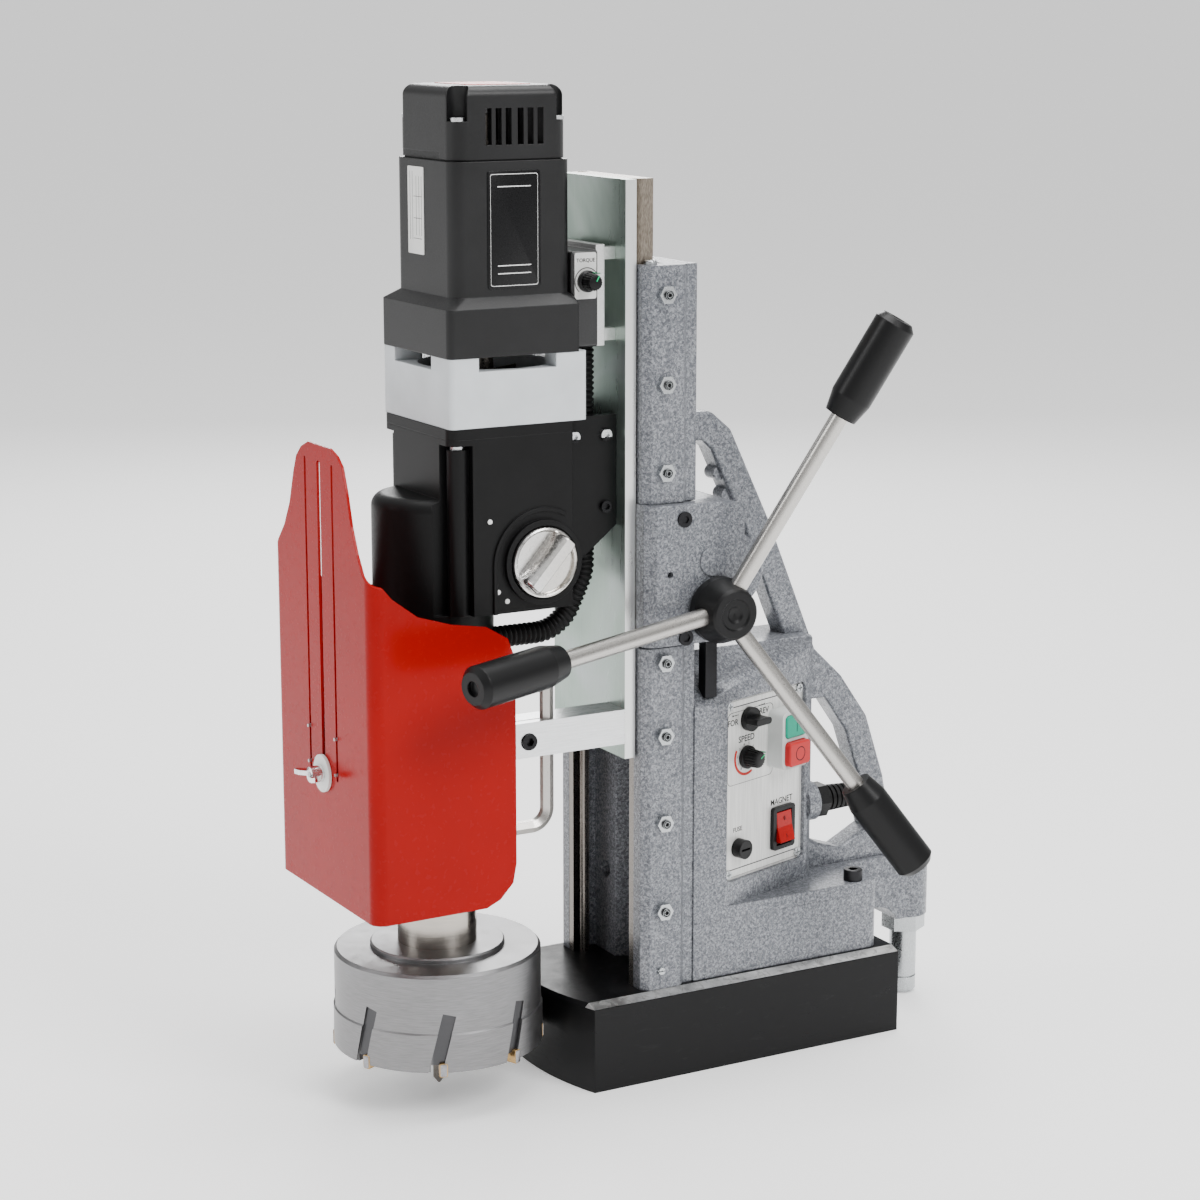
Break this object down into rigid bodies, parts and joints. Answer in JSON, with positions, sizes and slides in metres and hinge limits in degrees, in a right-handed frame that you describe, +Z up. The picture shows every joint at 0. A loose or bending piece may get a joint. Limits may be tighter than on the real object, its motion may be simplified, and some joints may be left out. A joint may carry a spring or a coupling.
{
  "type": "magnetic drill press",
  "caption": "Portable drill press with an electromagnet base, a dovetail rack feed, a geared electric spindle, a large annular cutter and a sliding red guard.",
  "frame": {"origin": "centre of the magnet's flat bottom face", "axes": "+Z up along the column, -Y towards the spindle and guard, +X towards the feed wheel and the control panel"},
  "size_m": [0.2235, 0.4992, 0.6744],
  "materials": {
    "black_paint": "gloss",
    "hammertone": "hammered",
    "grey_paint": "satin",
    "black_texture": "textured",
    "ground_steel": "ground",
    "dark_steel": "oiled",
    "zinc": "zinc plated",
    "stainless": "satin",
    "black_screw": "black oxide",
    "aluminium": "satin",
    "silver_panel": "brushed",
    "black_plastic": "matte",
    "grip_plastic": "satin",
    "grey_plastic": "matte",
    "green_plastic": "gloss",
    "red_plastic": "gloss",
    "guard_red": "gloss",
    "resin": "cast",
    "copper_coil": "enamelled",
    "bronze": "machined",
    "board_green": "matte",
    "cutter_steel": "ground",
    "nylon": "natural",
    "chrome": "polished",
    "rubber": "matte",
    "label": "printed"
  },
  "bodies": {
    "base": {"magnet_body": "black_paint", "magnet_coil": "copper_coil", "magnet_potting": "resin", "foot_casting": "hammertone", "column_casting": "hammertone", "housing_casting": "hammertone", "carry_handle": "hammertone", "gib_strips": "dark_steel", "column_screws": "zinc", "feed_gear_case": "hammertone", "cover_screws": "black_screw", "shaft_bushes": "bronze", "control_panel": "silver_panel", "start_stop_bezel": "grey_plastic", "magnet_switch_frame": "black_plastic", "switch_bodies": "black_plastic", "control_board": "board_green", "cable_gland": "black_plastic", "cable_relief": "rubber", "guide_rod": "dark_steel", "jack_nut": "zinc", "drop_bar": "black_screw"},
    "jack": {"jack_foot": "zinc"},
    "feed_wheel": {"feed_shaft": "dark_steel", "feed_hub": "grip_plastic", "feed_arms": "stainless", "feed_grips": "grip_plastic"},
    "pinion": {"pinion_shaft": "dark_steel"},
    "start_key": {"start_button": "green_plastic"},
    "stop_key": {"stop_button": "red_plastic"},
    "magnet_key": {"magnet_rocker": "red_plastic"},
    "speed_dial": {"speed_knob": "black_plastic"},
    "direction_switch": {"direction_knob": "black_plastic"},
    "fuse": {"fuse_cap": "black_plastic"},
    "slide": {"slide_plate": "ground_steel", "feed_rack": "dark_steel", "arm_bracket": "aluminium", "torque_box": "black_plastic", "torque_panel": "silver_panel", "conduit": "rubber", "gearbox_case": "black_texture", "gearbox_lid": "black_texture", "slide_screws": "black_screw", "fan_ring": "grey_paint", "motor_housing": "black_texture", "motor_cap": "black_texture", "stator": "copper_coil", "rating_plates": "label"},
    "torque_dial": {"torque_knob": "black_plastic"},
    "gear_lever": {"gear_knob": "silver_panel"},
    "armature": {"armature": "dark_steel"},
    "layshaft": {"layshaft": "dark_steel"},
    "spindle": {"spindle": "cutter_steel", "cutter": "cutter_steel"},
    "pilot": {"pilot_pin": "cutter_steel"},
    "guard_carrier": {"guard_rod": "stainless", "guard_bracket": "zinc", "guard_washer": "nylon"},
    "guard": {"guard": "guard_red"},
    "clamp_nut": {"wing_nut": "chrome"}
  },
  "joints": [
    {"name": "feed_slide", "type": "slide", "parent": "base", "child": "slide", "axis": [0, 0, 1], "range_m": [-0.085, 0.12]},
    {"name": "pinion_turn", "type": "hinge", "parent": "base", "child": "pinion", "pos_m": [0, -0.0327, 0.3596], "axis": [1, 0, 0], "range_deg": [-406, 288]},
    {"name": "feed_wheel_turn", "type": "hinge", "parent": "base", "child": "feed_wheel", "pos_m": [0, -0.0304, 0.3267], "axis": [1, 0, 0], "range_deg": [-556, 784]},
    {"name": "jack_screw", "type": "slide", "parent": "base", "child": "jack", "axis": [0, 0, 1], "range_m": [0, 0.02]},
    {"name": "start_press", "type": "slide", "parent": "base", "child": "start_key", "axis": [-0.9511, -0.309, 0], "range_m": [0, 0.003], "stiffness_N_per_m": 400, "springref_m": -0.002},
    {"name": "stop_press", "type": "slide", "parent": "base", "child": "stop_key", "axis": [-0.9511, -0.309, 0], "range_m": [0, 0.003], "stiffness_N_per_m": 400, "springref_m": -0.002},
    {"name": "magnet_rocker_tilt", "type": "hinge", "parent": "base", "child": "magnet_key", "pos_m": [0.03469, 0.04464, 0.1555], "axis": [-0.309, 0.9511, 0], "range_deg": [0, 22]},
    {"name": "speed_knob_turn", "type": "hinge", "parent": "base", "child": "speed_dial", "pos_m": [0.0468, 0.00736, 0.214], "axis": [0.9511, 0.309, 0], "range_deg": [-135, 135]},
    {"name": "direction_knob_turn", "type": "hinge", "parent": "base", "child": "direction_switch", "pos_m": [0.04627, 0.00898, 0.241], "axis": [0.9511, 0.309, 0], "range_deg": [-45, 45]},
    {"name": "fuse_cap_turn", "type": "hinge", "parent": "base", "child": "fuse", "pos_m": [0.04949, -0.00092, 0.1505], "axis": [0.9511, 0.309, 0], "range_deg": [0, 90]},
    {"name": "torque_knob_turn", "type": "hinge", "parent": "slide", "child": "torque_dial", "pos_m": [0.041, -0.1155, 0.548], "axis": [1, 0, 0], "range_deg": [-135, 135]},
    {"name": "gear_knob_turn", "type": "hinge", "parent": "slide", "child": "gear_lever", "pos_m": [0.05, -0.154, 0.368], "axis": [1, 0, 0], "range_deg": [-30, 60]},
    {"name": "spindle_turn", "type": "hinge", "parent": "slide", "child": "spindle", "pos_m": [0, -0.209, 0.2], "axis": [0, 0, 1], "continuous": true},
    {"name": "layshaft_turn", "type": "hinge", "parent": "slide", "child": "layshaft", "pos_m": [-0.01965, -0.18156, 0.4], "axis": [0, 0, 1], "continuous": true},
    {"name": "armature_turn", "type": "hinge", "parent": "slide", "child": "armature", "pos_m": [0, -0.1696, 0.5], "axis": [0, 0, 1], "continuous": true},
    {"name": "pilot_pin_travel", "type": "slide", "parent": "spindle", "child": "pilot", "axis": [0, 0, 1], "range_m": [0, 0.045], "stiffness_N_per_m": 120, "springref_m": -0.01},
    {"name": "guard_rod_height", "type": "slide", "parent": "slide", "child": "guard_carrier", "axis": [0, 0, 1], "range_m": [-0.04, 0]},
    {"name": "guard_height", "type": "slide", "parent": "guard_carrier", "child": "guard", "axis": [0, 0, 1], "range_m": [-0.12, 0]},
    {"name": "wing_nut_turn", "type": "hinge", "parent": "guard_carrier", "child": "clamp_nut", "pos_m": [0, -0.2922, 0.2315], "axis": [0, -1, 0], "range_deg": [0, 360]}
  ],
  "couplings": [
    {"joint": "pinion_turn", "follows": "feed_slide", "rad_per_m": -58.824},
    {"joint": "feed_wheel_turn", "follows": "feed_slide", "rad_per_m": 113.73},
    {"joint": "layshaft_turn", "follows": "spindle_turn", "ratio": -2.8571},
    {"joint": "armature_turn", "follows": "spindle_turn", "ratio": 8.0952}
  ]
}
